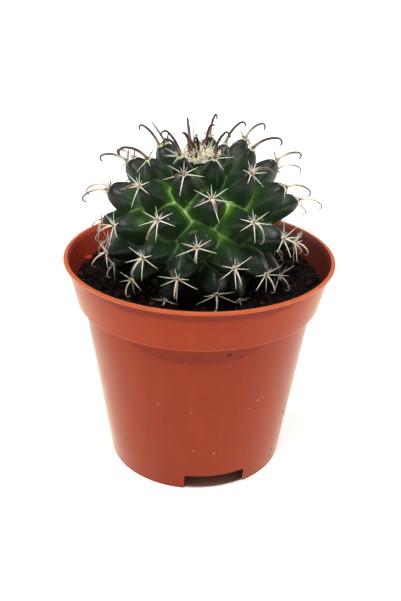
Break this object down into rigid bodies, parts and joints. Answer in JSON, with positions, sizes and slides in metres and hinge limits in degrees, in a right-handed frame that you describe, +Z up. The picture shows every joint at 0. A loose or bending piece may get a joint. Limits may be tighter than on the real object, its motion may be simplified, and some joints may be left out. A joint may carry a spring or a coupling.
{
  "type": "potted round cactus",
  "caption": "Round cactus with large tubercles, starry radial spines and hooked central spines, rooted in dark potting mix in a terracotta-coloured plastic pot with a deep rim band.",
  "frame": {"origin": "centre of the pot's foot, in the plane that it stands on", "axes": "+Z up along the pot's axis, -Y towards the front, where one foot notch lies just right of the middle"},
  "size_m": [0.105, 0.105, 0.1377],
  "materials": {
    "pot_plastic": "satin terracotta-coloured moulded plastic",
    "potting_mix": "dark moist peat and bark crumbs, matte",
    "cactus_flesh": "waxy dark green skin, paler in the grooves"
  },
  "bodies": {
    "root": {"pot": "pot_plastic", "soil": "potting_mix", "cactus": "cactus_flesh"}
  },
  "joints": []
}
